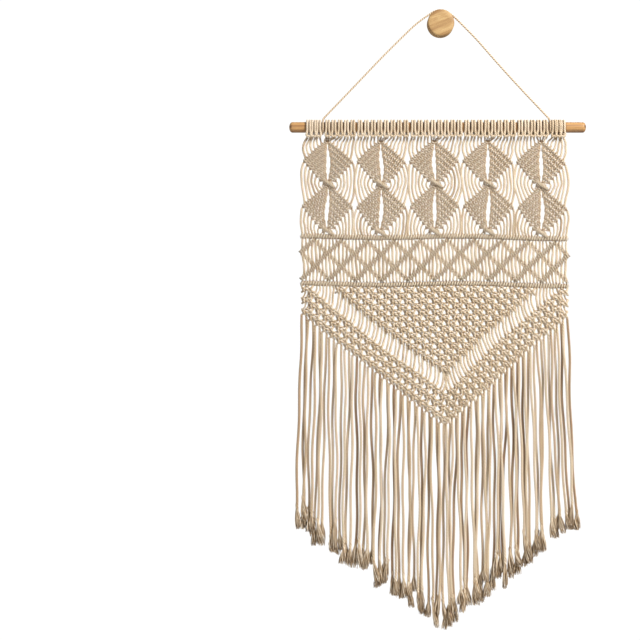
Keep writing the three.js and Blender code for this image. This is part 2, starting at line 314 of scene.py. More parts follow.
def through(points, step):
    """Points about step apart on a smooth curve through the given ones."""
    p = np.asarray(points, float)
    reach = steps_of(p)
    knots = summed(np.sqrt(reach))
    slope = np.gradient(p, knots, axis=0)
    at = np.linspace(0, knots[-1], max(8 * len(p), int(2 * reach.sum() / step)))
    i = np.clip(np.searchsorted(knots, at, side="right") - 1, 0, len(p) - 2)
    h = (knots[i + 1] - knots[i])[:, None]
    t = (at[:, None] - knots[i][:, None]) / h
    line = (
        (1 + 2 * t) * (1 - t) ** 2 * p[i]
        + t * (1 - t) ** 2 * h * slope[i]
        + t**2 * (3 - 2 * t) * p[i + 1]
        + t**2 * (t - 1) * h * slope[i + 1]
    )
    return evenly(line, step)


def unit(v):
    return v / np.maximum(np.linalg.norm(v, axis=-1, keepdims=True), 1e-9)


def carried_normals(tangents):
    """A normal at each tangent, carried along the line without twisting."""
    normal = np.cross(tangents[0], FORWARD + 0.013 * RIGHT)
    normals = np.empty_like(tangents)
    for i, tangent in enumerate(tangents):
        normal = normal - tangent * (normal @ tangent)
        normal = normal / math.sqrt(normal @ normal)
        normals[i] = normal
    return normals


# ---- meshes ----
def smooth_piece(name, mesh, material):
    mesh.polygons.foreach_set("use_smooth", np.ones(len(mesh.polygons), bool))
    mesh.materials.append(material)
    piece = add_object(name, mesh)
    return piece


LOBE_MEAN = 0.64  # about a ply's mean lobe, so that its grooves leave the cord's mean shade as it is


class Yarn:
    """Collects twisted cords and single fibres, and makes one piece of them."""

    def __init__(self):
        self.points, self.quads, self.fans = [], [], []
        self.quad_uv, self.fan_uv = [], []
        self.tone_and_shade = []
        self.count = 0

    def tube(self, line, radius, lay, plies=3, around=3, valley=0.62, tone_and_shade=None, groove=0.36):
        """A closed tube along line whose cross-section has one lobe for each ply, turned S-wise.

        The tone given is one for the cord or one for each point: a random tone, with painted shade where
        the caller darkens it; groove is how much painted shade darkens the valleys between the plies.
        """
        rings = len(line)
        sides = plies * around
        radius = np.broadcast_to(np.asarray(radius, float), rings)[:, None, None]
        tangents = unit(np.gradient(line, axis=0))
        normals = carried_normals(tangents)
        binormals = np.cross(tangents, normals)
        along = summed(steps_of(line))
        angle = TURN * np.arange(sides) / sides
        lobe = np.abs(np.sin(plies / 2 * angle)) ** 0.75 if plies > 1 else np.ones(sides)
        reach = valley + (1 - valley) * lobe
        turn = angle[None, :] - TURN * along[:, None] / lay + rng.uniform(0, TURN)
        offset = (
            np.cos(turn)[:, :, None] * normals[:, None] + np.sin(turn)[:, :, None] * binormals[:, None]
        ) * reach[None, :, None] * radius
        ring = np.arange(sides)
        after = (ring + 1) % sides
        base = self.count + sides * np.arange(rings - 1)[:, None]
        quads = np.stack([base + ring, base + after, base + sides + after, base + sides + ring], axis=-1)
        first, last = self.count + rings * sides, self.count + rings * sides + 1
        end = self.count + (rings - 1) * sides
        fans = np.concatenate([
            np.stack([np.full(sides, first), self.count + after, self.count + ring], axis=-1),
            np.stack([np.full(sides, last), end + ring, end + after], axis=-1),
        ])
        u = ring / around
        v0, v1 = along[:-1, None], along[1:, None]
        corners = [(u, v0), (u + 1 / around, v0), (u + 1 / around, v1), (u, v1)]
        uv = np.stack([np.stack(np.broadcast_arrays(*corner), axis=-1) for corner in corners], axis=2)
        self.points += [(line[:, None] + offset).reshape(-1, 3), line[:1], line[-1:]]
        self.quads.append(quads.reshape(-1, 4))
        self.fans.append(fans)
        self.quad_uv.append(uv.reshape(-1, 2))
        self.fan_uv.append(np.zeros((len(fans) * 3, 2)))
        tone = np.broadcast_to(rng.uniform(0.25, 0.8) if tone_and_shade is None else tone_and_shade, rings)
        # painted shade: the valleys between the plies get a darker tone
        shade = tone[:, None] + groove * (lobe - LOBE_MEAN)
        self.tone_and_shade += [shade.ravel(), tone[:1], tone[-1:]]
        self.count += rings * sides + 2

    def make(self, name, material, slot):
        """One mesh object of everything collected."""
        quads, fans = np.concatenate(self.quads), np.concatenate(self.fans)
        corners = np.concatenate([quads.ravel(), fans.ravel()]).astype(np.int32)
        starts = np.concatenate([
            4 * np.arange(len(quads)),
            4 * len(quads) + 3 * np.arange(len(fans)),
        ]).astype(np.int32)
        mesh = bpy.data.meshes.new(name)
        mesh.vertices.add(self.count)
        mesh.vertices.foreach_set("co", (np.concatenate(self.points) * MM).astype(np.float32).ravel())
        mesh.loops.add(len(corners))
        mesh.loops.foreach_set("vertex_index", corners)
        mesh.polygons.add(len(starts))
        mesh.polygons.foreach_set("loop_start", starts)
        mesh.update(calc_edges=True)
        uv = np.concatenate(self.quad_uv + self.fan_uv).astype(np.float32)
        mesh.uv_layers.new(name="cord").data.foreach_set("uv", uv.ravel())
        # the tone of each point, painted shade included
        layer = mesh.attributes.new("tone_and_shade", "FLOAT", "POINT")
        layer.data.foreach_set("value", np.concatenate(self.tone_and_shade).astype(np.float32))
        return smooth_piece(name, mesh, material)


def knotted_piece(yarn, name, node, material):
    """One piece of the knotted work, which takes the place of a CAD node and moves with the panel."""
    piece = yarn.make(name, material, "cotton_cord")
    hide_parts(node)
    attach(piece, "panel")


def skin(name, rings, ends, material):
    """A smooth piece over rings of points, closed by a fan of faces round a point at each end."""
    sides = len(rings[0])
    points = [*np.concatenate(rings), *ends]
    first, last = len(points) - 2, len(points) - 1
    end = (len(rings) - 1) * sides
    faces = []
    for k in range(sides):
        after = (k + 1) % sides
        faces.append((first, after, k))
        faces.append((last, end + k, end + after))
        for base in range(0, end, sides):
            faces.append((base + after, base + sides + after, base + sides + k, base + k))
    mesh = bpy.data.meshes.new(name)
    mesh.from_pydata([tuple(point * MM) for point in points], [], faces)
    return smooth_piece(name, mesh, material)


def lathe(name, profile, axis_at, along, material, sides=96):
    """A turned piece. Its profile is (radius, distance along the axis), from end to end of the axis."""
    along = unit(np.asarray(along, float))
    side = unit(np.cross(along, UP + 0.3 * RIGHT))
    other = np.cross(along, side)
    angle = TURN * np.arange(sides) / sides
    wheel = np.cos(angle)[:, None] * side + np.sin(angle)[:, None] * other
    rings = [axis_at + along * distance + wheel * radius for radius, distance in profile[1:-1]]
    ends = [axis_at + along * distance for _, distance in (profile[0], profile[-1])]
    return skin(name, rings, ends, material)


# ---- how the panel hangs: a gentle field that every knotted piece shares ----
SETTLE_DROP = 40  # how far below the rod's knots the field is at its full strength
RIGHT_SAG = 1.8  # how much lower the panel's right edge hangs


def settle(points):
    """Moves points a little, as the knotting is never quite even."""
    p = np.array(points, float)
    x, z = p[:, 0], p[:, 2]
    below = np.clip((LOOSE_TOP - z) / SETTLE_DROP, 0, 1)
    sideways = 1.1 * np.sin(z / 23 + x / 160) + 0.8 * np.sin(z / 9.5 + 1.7 + x / 40)
    backward = 0.9 * np.sin(x / 26 + z / 60) + 0.5 * np.sin(x / 11 - z / 19)
    upward = 1.3 * np.sin(x / 41 + 0.6) - RIGHT_SAG * np.clip(x / 190, 0, 1)
    return p + below[:, None] * np.stack([sideways, backward, upward], axis=1)


def wander(amount):
    return rng.uniform(-amount, amount)


WRAP_POINTS = 11  # points over which a wrapping cord's depth is averaged
WRAP_DEPTH = 1.7  # from that average to where the cord starts to lie on a face of its row
WRAP_STEP = 1.35  # between the points of a wrapping cord
FILLER_PAST = 1.5  # how far the filler shows past its first and last wrap


def lit(line):
    """Painted shade for each point of a wrapping cord, on a random tone: pale on both faces of its row,
    dark where it dives.
    """
    depth = line[:, 1]
    padded = np.pad(depth, WRAP_POINTS // 2, mode="edge")
    level = np.convolve(padded, np.ones(WRAP_POINTS) / WRAP_POINTS, mode="valid")
    return np.clip(rng.uniform(0.75, 1.0) + 0.75 * (np.abs(depth - level) - WRAP_DEPTH), -0.9, 1.1)


# ---- half hitches ----
def hitch(centre, direction, width, turns=2.5, across=2.2, deep=2.3, lean=0.0):
    """The working cord's turns round a filler that runs along direction, ending below it."""
    down = np.array([-direction[2], 0, direction[0]])
    down = down if down[2] < 0 else -down
    angle = np.linspace(0, turns * TURN, round(8 * turns) + 1)
    across = across + wander(0.12)
    deep = deep + wander(0.15)
    shift = np.clip((angle / TURN - turns / 2) * width / 2, -0.55 * width, 0.55 * width)
    shift = shift + lean / 2 * np.cos(angle)
    return (
        centre
        + shift[:, None] * direction
        - across * np.cos(angle)[:, None] * down
        - deep * np.sin(angle)[:, None] * FORWARD
    )


def hitch_row(yarn, start, end, count, forward=0.0, radius=WRAP_RADIUS, **shape):
    """A row of separate half hitches on a filler from start to end, with the filler showing at its ends."""
    start, end = start + forward * FORWARD, end + forward * FORWARD
    direction = unit(end - start)
    pitch = np.linalg.norm(end - start) / count
    for place in range(count):
        centre = start + (place + 0.5) * pitch * direction + wander(0.25) * UP
        line = through(settle(hitch(centre, direction, pitch, **shape)), WRAP_STEP)
        yarn.tube(line, radius * rng.uniform(0.94, 1.06), LAY, tone_and_shade=lit(line))
    past = FILLER_PAST * direction
    filler = settle(through([start - past, (start + end) / 2, end + past], 4))
    yarn.tube(filler, FILLER_RADIUS, LAY)


# ---- lark's head knots ----
HEAD_LOOP_RADIUS = ROD_RADIUS + 2.1
HEAD_SPREAD = 1.95
FOLD_FORWARD = 9.0  # of the fold, from the rod's axis
TIE_GAP = 0.5  # kept clear at each end of a group, so that the heads turn past the hanger's ties


def head_places():
    """The x of each head, and the group that it is in."""
    places = []
    for group, heads in enumerate(HEADS_IN_GROUP):
        low, high = box(f"lark_head_knots_{group + 1}")
        first, last = low[0] + TIE_GAP, high[0] - TIE_GAP
        pitch = (last - first) / heads
        places += [(group, first + (place + 0.5) * pitch) for place in range(heads)]
    return places


def head_leg(x, side):
    """One half of a head: from the fold at the front, over the rod, and down behind the fold."""
    lean = wander(0.2)
    points = [
        np.array([x + side * 3.1, ROD[1] - FOLD_FORWARD, ROD[2] - 13.3]),
        np.array([x + side * 3.2, ROD[1] - 9.2, ROD[2] - 10.6]),
    ]
    for degrees in np.arange(-25, 261, 30):
        angle = math.radians(degrees)
        swell = HEAD_LOOP_RADIUS + wander(0.12)
        sideways = side * (HEAD_SPREAD + 0.15 * math.cos(angle)) + lean * math.sin(angle)
        points.append(np.array([
            x + sideways,
            ROD[1] - swell * math.cos(angle),
            ROD[2] + swell * math.sin(angle),
        ]))
    points.append(np.array([x + side * HEAD_SPREAD, ROD[1] - 3.0, ROD[2] - 12.0]))
    points.append(np.array([x + side * 2.2, PANEL_Y, LOOSE_TOP - 1.0]))
    return points


def make_lark_heads(material):
    yarns = [Yarn() for _ in HEADS_IN_GROUP]
    for group, x in head_places():
        left, right = head_leg(x, -1), head_leg(x, 1)
        fold = [np.array([x, ROD[1] - FOLD_FORWARD + wander(0.3), ROD[2] - 14.2 + wander(0.4)])]
        path = left[::-1] + fold + right
        yarns[group].tube(through(path, 1.3), HEAD_RADIUS, LAY, around=4)
    for group, yarn in enumerate(yarns):
        knotted_piece(yarn, f"lark_heads_{group + 1}", f"lark_head_knots_{group + 1}", material)


# ---- leaf pairs ----
LEAF_HITCH = 6.5
LEAF_DROP = {"upper": 0.549, "lower": 0.522}  # of the top row from slit to tip, by the leaf's height
SLIT = 1.5  # half the gap between the two leaves of a pair
SLIT_OPENING = 3.0
LEAF_BULGE = 1.6
SEAM_RADIUS = 1.5


class Leaf:
    """One leaf of a pair: rows of hitches that run outwards and down from the slit, each one shorter."""

    def __init__(self, row, repeat, side):
        node = f"leaf_pair_{row}_{repeat + 1}"
        low, high = box(node)
        height = high[2] - low[2]
        drop = LEAF_DROP[row] * height
        reach = (high[0] - low[0]) / 2 - SLIT
        self.side = side
        self.x = middle(node)[0]
        self.start = np.array([self.x + side * (SLIT + 0.6), PANEL_Y, high[2] - 2.5])
        self.direction = unit(np.array([side * reach, 0, -drop + 2]))
        self.rows = LEAF_CORDS - 1
        self.row_drop = (height - 5) / (self.rows - 1)

    def at(self, row, along):
        """A place on a row, in hitches from the slit. The slit opens most below its middle."""
        arch = math.sin(math.pi * min(1, max(0, along / self.rows))) * UP
        bulge = LEAF_BULGE * math.sin(math.pi * (row + 0.5) / self.rows) * FORWARD
        opening = SLIT_OPENING * math.sin(math.pi * min(1, row / (self.rows - 1)) ** 1.2) - 0.9
        part = self.side * opening * (1 - 0.75 * along / (self.rows - row)) * RIGHT
        drop = row * self.row_drop
        return self.start + along * LEAF_HITCH * self.direction - drop * UP + arch + bulge + part

    def cord(self, j):
        """Cord j's whole path: a hitch on each row above its own, then along its own row as the filler."""
        path = [self.at(0, 0) + 2.5 * UP if j == 0 else self.at(0, j - 0.5) + 3.5 * UP - 1.2 * FORWARD]
        for row in range(j):
            path += list(hitch(self.at(row, j - row - 0.5), self.direction, LEAF_HITCH))
        if j < self.rows:
            path.append(self.at(j, -0.12) - self.side * 0.4 * RIGHT)
            path += [self.at(j, place) for place in np.arange(0.5, self.rows - j, 1.0)]
        return path + [self.exit(j)]

    def edge(self):
        """The strand that runs down the slit, where each filler turns into its own row."""
        return [self.at(row, 0.04) - 0.6 * FORWARD for row in np.arange(0, self.rows - 0.6, 0.5)]

    def seam(self, row):
        """The line between a row and the one above it, at the back, where slack cord closes the gap."""
        places = np.linspace(0.1, self.rows - row, 6)
        return [self.at(row, place) + self.row_drop / 2 * UP - 2.2 * FORWARD for place in places]

    def exit(self, j):
        """Where cord j leaves the leaf's lower edge."""
        if j == self.rows:
            return self.at(self.rows - 1, 0.5) - 3.6 * UP
        return self.at(j, self.rows - j + 0.25) - 0.8 * UP

    def entry(self, j):
        """Where cord j comes down to the leaf's upper edge."""
        if j == 0:
            return self.at(0, 0) + 2 * UP
        return self.at(0, j - 0.5) + 1.2 * UP - 1.0 * FORWARD


def cord_place(repeat, side, j):
    """The number of a leaf's cord, counted across the panel."""
    middle_cord = repeat * 2 * LEAF_CORDS + LEAF_CORDS
    return middle_cord - 1 - j if side < 0 else middle_cord + j


def make_leaf_pairs(material):
    for row in ("upper", "lower"):
        for repeat in range(REPEATS):
            yarn = Yarn()
            leaves = [Leaf(row, repeat, side) for side in (-1, 1)]
            for leaf in leaves:
                for j in range(LEAF_CORDS):
                    line = through(settle(leaf.cord(j)), WRAP_STEP)
                    yarn.tube(line, WRAP_RADIUS, LAY, tone_and_shade=lit(line))
                yarn.tube(through(settle(leaf.edge()), 2.0), SEAM_RADIUS, LAY, tone_and_shade=0.8)
                # painted shade: the slack seams at the back get a dark negative tone, which adds to the
                # crevice shade
                for lower in range(1, leaf.rows):
                    yarn.tube(through(settle(leaf.seam(lower)), 4.0), SEAM_RADIUS, LAY, tone_and_shade=-0.8)
            # one slanting row of hitches ties the two leaves together at their foot
            foot = leaves[0].at(leaves[0].rows - 1, 0.2)
            foot[0] = leaves[0].x
            hitch_row(yarn, foot + 3.5 * UP - 8.0 * RIGHT, foot - 8.0 * UP + 9.0 * RIGHT, 4, forward=2.4)
            knotted_piece(yarn, f"leaves_{row}_{repeat + 1}", f"leaf_pair_{row}_{repeat + 1}", material)


# ---- loose cords of the panel ----
LOOSE_LAY = 1.15 * LAY
SHORTEST = 2.5  # a shorter gap is left to the knots on both sides of it
FREELY = 30  # from this length on, a cord hangs as unevenly as it may


def loose_cord(yarn, start, end, bow=0.0, sway=0.6, spread=1.0, radius=CORD_RADIUS):
    """A cord that hangs free from start to end, bowed sideways, its sideways move done by share spread."""
    start, end = np.asarray(start, float), np.asarray(end, float)
    length = np.linalg.norm(end - start)
    if length < SHORTEST:
        return
    soft = min(1, length / FREELY)
    points = [start]
    for share in (0.2, 0.4, 0.6, 0.8):
        moved = min(1, share / spread)
        place = start + share * (end - start)
        place[0] = start[0] + moved * (end[0] - start[0]) + bow * math.sin(math.pi * share)
        points.append(place + soft * wander(sway) * RIGHT + soft * wander(1.0) * FORWARD)
    points.append(end)
    tone_and_shade = float(np.clip(rng.normal(0.55, 0.25), 0.0, 1.0))
    pulled = (0.6 + 0.4 * soft) * rng.uniform(0.94, 1.05)
    yarn.tube(through(settle(points), 1.9), radius * pulled, LOOSE_LAY, tone_and_shade=tone_and_shade)


def make_loose_cords(material):
    yarns = {name: Yarn() for name in ("top", "middle", "bottom")}
    heads = head_places()
    for repeat in range(REPEATS):
        for side in (-1, 1):
            upper, lower = Leaf("upper", repeat, side), Leaf("lower", repeat, side)
            for j in range(LEAF_CORDS):
                cord = cord_place(repeat, side, j)
                leg = heads[cord // 2][1] + (1 if cord % 2 else -1) * 2.2
                out = side * (0.4 + 0.5 * j)
                loose_cord(yarns["top"], (leg, PANEL_Y, LOOSE_TOP - 0.6), upper.entry(j), out, spread=0.45)
                turned = upper.rows - j
                arc = side * (2.6 + 0.3 * turned if turned else 0.5)
                loose_cord(yarns["middle"], upper.exit(j), lower.entry(turned), arc)
                x = PANEL_LEFT + (cord_place(repeat, side, turned) + 0.5) * CORD_PITCH
                foot = (x, PANEL_Y + 0.5, RIDGE_Z["upper"] + 1.5)
                loose_cord(yarns["bottom"], lower.exit(j), foot, side * 1.8)
    for name, yarn in yarns.items():
        knotted_piece(yarn, f"free_cords_{name}", f"loose_cords_{name}", material)


# ---- ridges and lattice ----
RIDGE_STROKES = 100


def make_ridges(material):
    for name in ("upper", "lower"):
        yarn = Yarn()
        start = np.array([PANEL_LEFT, PANEL_Y, RIDGE_Z[name]])
        end = np.array([PANEL_RIGHT, PANEL_Y, RIDGE_Z[name]])
        hitch_row(yarn, start, end, RIDGE_STROKES, radius=1.5, turns=1.5, across=2.7, deep=2.5, lean=2.2)
        knotted_piece(yarn, f"hitch_ridge_{name}", f"ridge_{name}", material)


LATTICE_BANDS = 3
HITCHES_A_SIDE = 4
HALF_REPEATS = CORDS // HITCHES_A_SIDE
ROPE_OVER = {"forward": 1.8, "across": 2.95, "deep": 2.2}
ROPE_UNDER = {"forward": -0.6, "radius": 1.7, "turns": 1.5, "across": 2.0}


def lattice_levels():
    top = RIDGE_Z["upper"] - 4.8
    bottom = RIDGE_Z["lower"] + 6.2
    return np.linspace(top, bottom, LATTICE_BANDS + 1)


def rises(band, half):
    """Whether the rope in this half repeat of this band rises to the right."""
    return (band + half) % 2 == 0


def lattice_z(band, cord):
    """The height of a cord's hitch in a band."""
    levels = lattice_levels()
    half, place = divmod(cord, HITCHES_A_SIDE)
    share = (place + 0.5) / HITCHES_A_SIDE
    share = share if rises(band, half) else 1 - share
    return levels[band + 1] + share * (levels[band] - levels[band + 1])


def make_lattice(material):
    yarn = Yarn()
    levels = lattice_levels()
    half_width = PANEL_WIDTH / HALF_REPEATS
    for band in range(LATTICE_BANDS):
        for half in range(HALF_REPEATS):
            x0 = PANEL_LEFT + half * half_width
            up = rises(band, half)
            z0, z1 = (levels[band + 1], levels[band]) if up else (levels[band], levels[band + 1])
            start, end = np.array([x0, PANEL_Y, z0]), np.array([x0 + half_width, PANEL_Y, z1])
            hitch_row(yarn, start, end, HITCHES_A_SIDE, **(ROPE_OVER if up else ROPE_UNDER))
    for cord in range(CORDS):
        x = PANEL_LEFT + (cord + 0.5) * CORD_PITCH
        heights = [RIDGE_Z["upper"] - 2.5]
        heights += [lattice_z(band, cord) for band in range(LATTICE_BANDS)]
        heights += [RIDGE_Z["lower"] + 2.5]
        place = (cord % (2 * HITCHES_A_SIDE) + 0.5) / (2 * HITCHES_A_SIDE)
        for gap in range(LATTICE_BANDS + 1):
            centre = 0.5 if gap % 2 else 0.0
            away = (place - centre + 0.5) % 1 - 0.5
            bulge = 7.0 * away if 0 < gap < LATTICE_BANDS else 2.5 * away
            start = (x, PANEL_Y - 0.3, heights[gap] - 1.5)
            end = (x, PANEL_Y - 0.3, heights[gap + 1] + 1.5)
            if start[2] - end[2] > 3:
                loose_cord(yarn, start, end, bulge, 0.5, radius=CORD_RADIUS + 0.25)
    knotted_piece(yarn, "crossed_lattice", "diamond_lattice", material)


# ---- square knots ----
def column_x(column, z):
    """The x of a place counted in columns. Lower down, the middle column hangs towards the tip."""
    share = np.clip((KNOTS_TOP - z) / (KNOTS_TOP - TRIANGLE_TIP), 0, 1)
    centre = (1 - share) * (PANEL_LEFT + PANEL_RIGHT) / 2 + share * TIP_X
    half = COLUMNS / 2
    left = PANEL_LEFT + column / half * (centre - PANEL_LEFT)
    right = centre + (column - half) / half * (PANEL_RIGHT - centre)
    return np.where(column <= half, left, right)


def row_z(row):
    return KNOTS_TOP - (row + 0.5) * ROW_PITCH


def in_triangle(row, column):
    first = TRIANGLE_FIRST_COLUMN + row / 2
    return row < TRIANGLE_ROWS and first <= column <= COLUMNS - first


def in_band(row, column):
    from_left, from_right = row - 2 * column, row - 2 * (COLUMNS - column)
    inside = max(from_left, from_right) <= BAND_LAST_DIAGONAL
    return inside and max(from_left, from_right) >= BAND_FIRST_DIAGONAL and 0.5 <= column <= COLUMNS - 0.5


def knot_places():
    """Every square knot as (row, column, area), from the top row down."""
    places = []
    for row in range(2 * COLUMNS):
        for half in range(1, 2 * COLUMNS):
            column = half / 2
            if (row - half) % 2 == 0 and in_triangle(row, column):
                places.append((row, column, "triangle"))
            elif (row - half) % 2 == 1 and in_band(row, column):
                places.append((row, column, "band_left" if column <= COLUMNS / 2 else "band_right"))
    return places


INNER, OUTER = 1.6, 8.4  # where the cords cross from one row of knots to the next


def knot_cords():
    """The four cords of one square knot about its middle: x, forward, up, on a 20 mm column."""
    half = ROW_PITCH / 2 + 0.6
    upper_bar = [
        (-INNER, 0.6, half), (-0.6, 2.7, 4.5), (2.0, 3.4, 2.5), (4.4, 2.6, 0.7), (6.0, 0.4, -0.3),
        (3.8, -1.8, -0.8), (0, -2.5, -1.2), (-4.0, -1.9, -1.8), (-6.6, -1.1, -2.9), (-OUTER, 0, -half),
    ]
    lower_bar = [
        (-OUTER, 0, half), (-7.5, -0.7, 2.6), (-6.9, -0.9, 0.4), (-5.4, 0.3, -0.2), (-3.7, 2.0, 0.9),
        (-2.0, 3.0, 0.7), (0.9, 3.4, -1.5), (3.4, 2.7, -3.7), (3.2, 1.3, -4.7), (INNER, 0.2, -half),
    ]
    crescent = [
        (INNER, 0, half), (-0.8, -1.2, 4.3), (-3.4, 0.6, 3.9), (-4.6, 2.9, 2.1), (-4.9, 3.4, 0),
        (-4.5, 3.0, -2.2), (-3.0, 1.6, -4.0), (-INNER, 0.3, -half),
    ]
    bump = [
        (OUTER, 0.3, half), (7.0, 2.4, 3.5), (5.9, 4.0, 1.5), (5.6, 4.3, 0), (5.8, 4.0, -1.6),
        (7.0, 2.4, -3.5), (OUTER, 0.3, -half),
    ]
    lines = ((upper_bar, 1.85), (lower_bar, 1.85), (crescent, 1.55), (bump, 2.1))
    return [(np.array(line), radius) for line, radius in lines]


def tie_square_knot(yarn, row, column, templates):
    z = row_z(row)
    x = column_x(column, z)
    stretch = (column_x(column + 0.25, z) - column_x(column - 0.25, z)) / (0.5 * COLUMN_PITCH)
    tilt, lift = wander(0.05), wander(0.25)
    for template, radius in templates:
        p = template.copy()
        inner = np.abs(p[:, 2]) < ROW_PITCH / 2
        p[inner] += rng.uniform(-0.22, 0.22, (inner.sum(), 3))
        path = np.stack([
            x + stretch * p[:, 0] + tilt * p[:, 2] * inner,
            PANEL_Y - p[:, 1],
            z + p[:, 2] + inner * (tilt * p[:, 0] + lift),
        ], axis=1)
        yarn.tube(through(settle(path), 1.45), radius, LAY)


def in_column(column, z, aside=0.0):
    return np.array([float(column_x(column, z)) + aside, PANEL_Y, z])


def knot_edge(row, column, order, end):
    """Where one of a knot's four cords meets its upper (end 1) or lower (end -1) edge."""
    across = (-OUTER, -INNER, INNER, OUTER)[order] / COLUMN_PITCH
    return in_column(column + across, row_z(row) + end * ROW_PITCH / 2)


def slant_start(row, column, order, inward):
    """Where a cord leaves the last knot of the triangle: the four are bunched there."""
    return in_column(column, row_z(row) - ROW_PITCH / 2 + 1.2, 4.0 * inward + 4.9 * (order - 1.5))


def slant_end(row, column, order, inward):
    """Where a slanting cord curls into the side of a knot in the band."""
    outermost = order == 3 if inward > 0 else order == 0
    z = row_z(row) + ROW_PITCH / 2 - (3.2 if outermost else 0.8)
    return in_column(column, z, -0.6 * inward + 4.8 * (order - 1.5))


def knots_on_cord(places, cord):
    """The knots that a cord goes through, as (row, column, its order among the four)."""
    found = []
    for row, column, _ in places:
        order = cord - round(4 * column) + 2
        if 0 <= order < 4:
            found.append((row, column, order))
    return found


def make_square_knots(material, places):
    yarns = {area: Yarn() for area in ("triangle", "band_left", "band_right")}
    templates = knot_cords()
    for row, column, area in places:
        tie_square_knot(yarns[area], row, column, templates)
    open_yarns = {"left": Yarn(), "right": Yarn()}
    for cord in range(CORDS):
        side = "left" if cord < CORDS / 2 else "right"
        inward = 1 if side == "left" else -1
        knots = knots_on_cord(places, cord)
        x = PANEL_LEFT + (cord + 0.5) * CORD_PITCH
        start, last_row = np.array([x, PANEL_Y, KNOTS_TOP + 3.0]), -1
        for row, column, order in knots:
            if row - last_row > 1:
                end = slant_end(row, column, order, inward)
                loose_cord(open_yarns[side], start, end, inward * 1.9, 0.5)
            elif last_row < 0:
                loose_cord(open_yarns[side], start, knot_edge(row, column, order, 1), 0, 0)
            start, last_row = slant_start(row, column, order, inward), row
    for area, yarn in yarns.items():
        knotted_piece(yarn, f"square_knots_{area}", f"square_knot_{area}", material)
    for side, yarn in open_yarns.items():
        knotted_piece(yarn, f"slanting_cords_{side}", f"open_cords_{side}", material)


# ---- hanger cord and its ties ----
# The hanger cord's route in the frame, from the left tie over the knob to the right tie.
HANGER_ROUTE = [
    (-175.2, -12.6, -141.9), (-129.8, -11.2, -94.5), (-87, -10, -49.5), (-59, -9, -21.5),
    (-40.5, -8.4, -3.5), (-30.8, -8.1, 4.6), (-18.2, -8, 13.5), (-9.4, -8, 19.2), (0, -8, 21.3),
    (9.4, -8, 19.3), (16.9, -8, 14.3), (26.9, -8.2, 5.2), (35.9, -8.5, -3.9),
    (53.8, -9.2, -22.5), (84, -10.3, -57), (117.3, -11.4, -94), (162.2, -12.6, -141.9),
]


HANGER_LAY = 6.5


def length_of(line):
    return float(steps_of(line).sum())


def thin_tube(yarn, line, tone_and_shade, radius=HANGER_RADIUS, around=5, valley=0.62):
    """A length of the hanger's two-ply cord."""
    yarn.tube(line, radius, HANGER_LAY, plies=2, around=around, valley=valley, tone_and_shade=tone_and_shade)


def make_hanger(material):
    line = through(HANGER_ROUTE, 1.1)
    yarn = Yarn()
    thin_tube(yarn, line, 0.5)
    cord = yarn.make("hanging_cord", material, "thin_cord")
    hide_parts("hanger_cord")
    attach(cord, "hanger")


def make_tie(side, route_end, material):
    """The cord's end: once round the rod, and knotted to itself on top."""
    at = middle(f"hanger_tie_{side}")
    radius = ROD_RADIUS + 0.4 + HANGER_RADIUS
    yarn = Yarn()
    angles = np.linspace(math.radians(80), math.radians(80) + TURN * 1.02, 40)
    loop = np.stack([
        at[0] + 0.2 * np.sin(angles),
        ROD[1] - radius * np.cos(angles),
        ROD[2] + radius * np.sin(angles),
    ], axis=1)
    thin_tube(yarn, through(loop, 1.1), 0.45)
    top = np.array([at[0], ROD[1], ROD[2] + radius])
    route_end = np.asarray(route_end, float)
    rise = unit(route_end - top)
    coil = np.linspace(0, 2 * TURN, 25)
    sideways = unit(np.cross(rise, FORWARD))
    knot = (
        top + np.outer(1.0 + coil / TURN * 0.9, rise)
        + 1.0 * np.outer(np.cos(coil), sideways)
        + 1.5 * np.outer(np.sin(coil), FORWARD)
    )
    thin_tube(yarn, through(knot, 0.9), 0.4, radius=0.8, around=4, valley=0.65)
    thin_tube(yarn, through([top, top + 1.5 * rise, route_end + 1.2 * rise], 1.0), 0.5)
    piece = yarn.make(f"tie_{side}", material, "thin_cord")
    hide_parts(f"hanger_tie_{side}")
    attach(piece, "hanger")


# ---- fringe ----
SPREAD_LEFT, SPREAD_RIGHT = -7.0, 13.0  # how far the outer cords drift outwards at the hem
LAYER_GAP = 2.5
HEM_DEPTH = 24  # within which the tufts end
TUFT_FIBRES = 56
TUFT_LAY = 40
FLUFF_LENGTH = 14  # over which a cord grows to its free thickness


